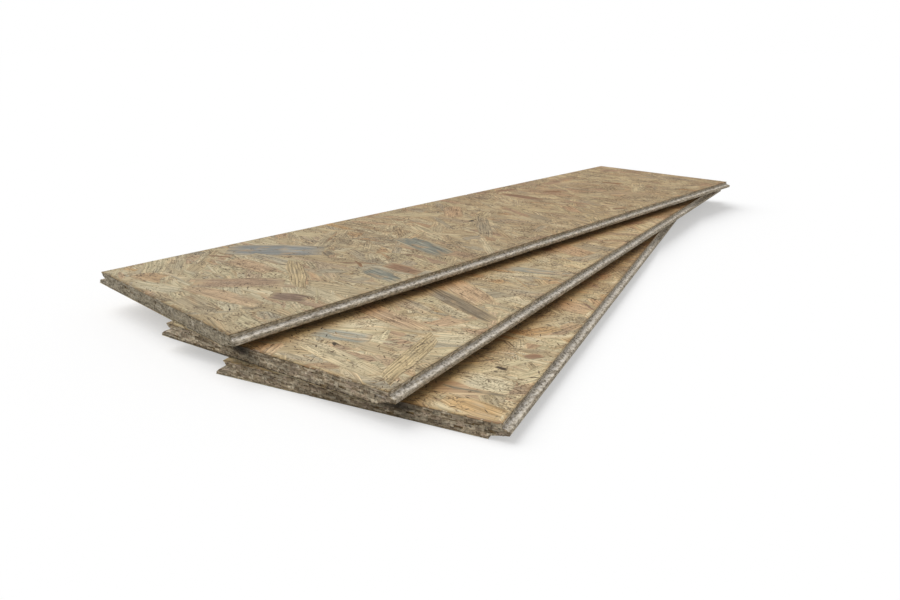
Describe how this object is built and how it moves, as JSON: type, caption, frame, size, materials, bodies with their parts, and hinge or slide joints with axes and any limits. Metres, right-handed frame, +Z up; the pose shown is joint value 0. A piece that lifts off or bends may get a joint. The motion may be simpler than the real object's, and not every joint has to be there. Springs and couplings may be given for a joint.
{
  "type": "stack of osb panels",
  "caption": "Tongue-and-groove OSB flooring panels stacked flat and fanned like cards, with a tapered tongue along one long edge of each panel and a groove along the other.",
  "frame": {"origin": "under the middle of the whole stack's box, on the floor", "axes": "+X along the middle panel towards the end where the panels lie together, +Y towards its grooved edge, +Z up"},
  "size_m": [1.2614, 0.6308, 0.054],
  "materials": {
    "osb": "pressed wood strands, matt, with sawn ends and milled edges"
  },
  "bodies": {
    "root": {"bottom_panel": "osb", "middle_panel": "osb", "top_panel": "osb"}
  },
  "joints": []
}
